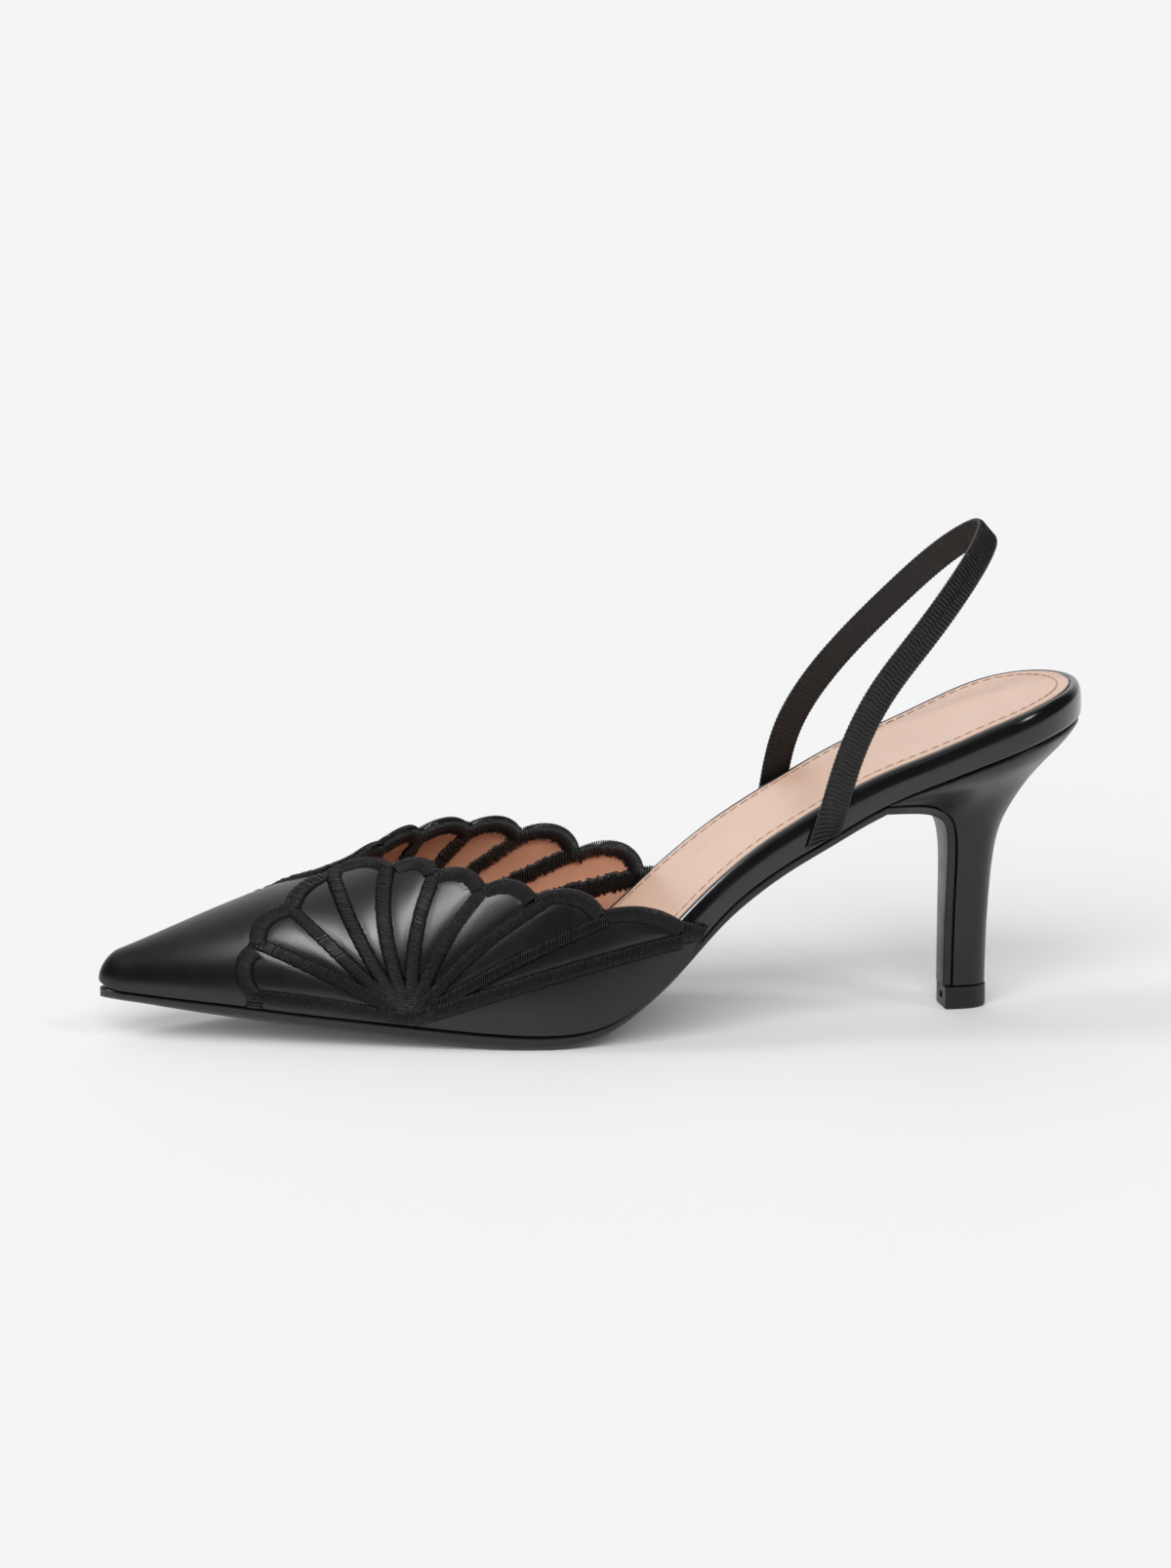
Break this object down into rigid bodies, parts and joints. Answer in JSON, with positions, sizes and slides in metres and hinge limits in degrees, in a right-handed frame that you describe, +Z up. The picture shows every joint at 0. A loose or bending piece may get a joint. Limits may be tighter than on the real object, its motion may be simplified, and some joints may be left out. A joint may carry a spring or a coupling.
{
  "type": "slingback heeled mule",
  "caption": "Pointed black slingback mule with scalloped shell embroidery, tan insole sock, elastic heel strap and a slim covered heel.",
  "frame": {"origin": "on the floor, below the middle of the shoe's bounding box", "axes": "+X toward the heel, +Y toward the inner side of the foot, +Z up"},
  "size_m": [0.2406, 0.0736, 0.1202],
  "materials": {
    "black_leather": "satin, fine grain",
    "black_thread": "satin stitch thread",
    "black_patent_edge": "glossy wrapped edge",
    "tan_leather": "smooth, slightly glossy",
    "black_sole": "satin",
    "black_heel_cover": "smooth satin cover over a hard core",
    "black_plastic": "matte",
    "black_elastic": "fine cross ribs"
  },
  "bodies": {
    "root": {"upper": "black_leather", "shell_embroidery_lateral": "black_thread", "shell_embroidery_medial": "black_thread", "footbed": "black_patent_edge", "insole_sock": "tan_leather", "outsole": "black_sole", "heel": "black_heel_cover", "top_piece": "black_plastic", "sling_strap": "black_elastic"}
  },
  "joints": []
}
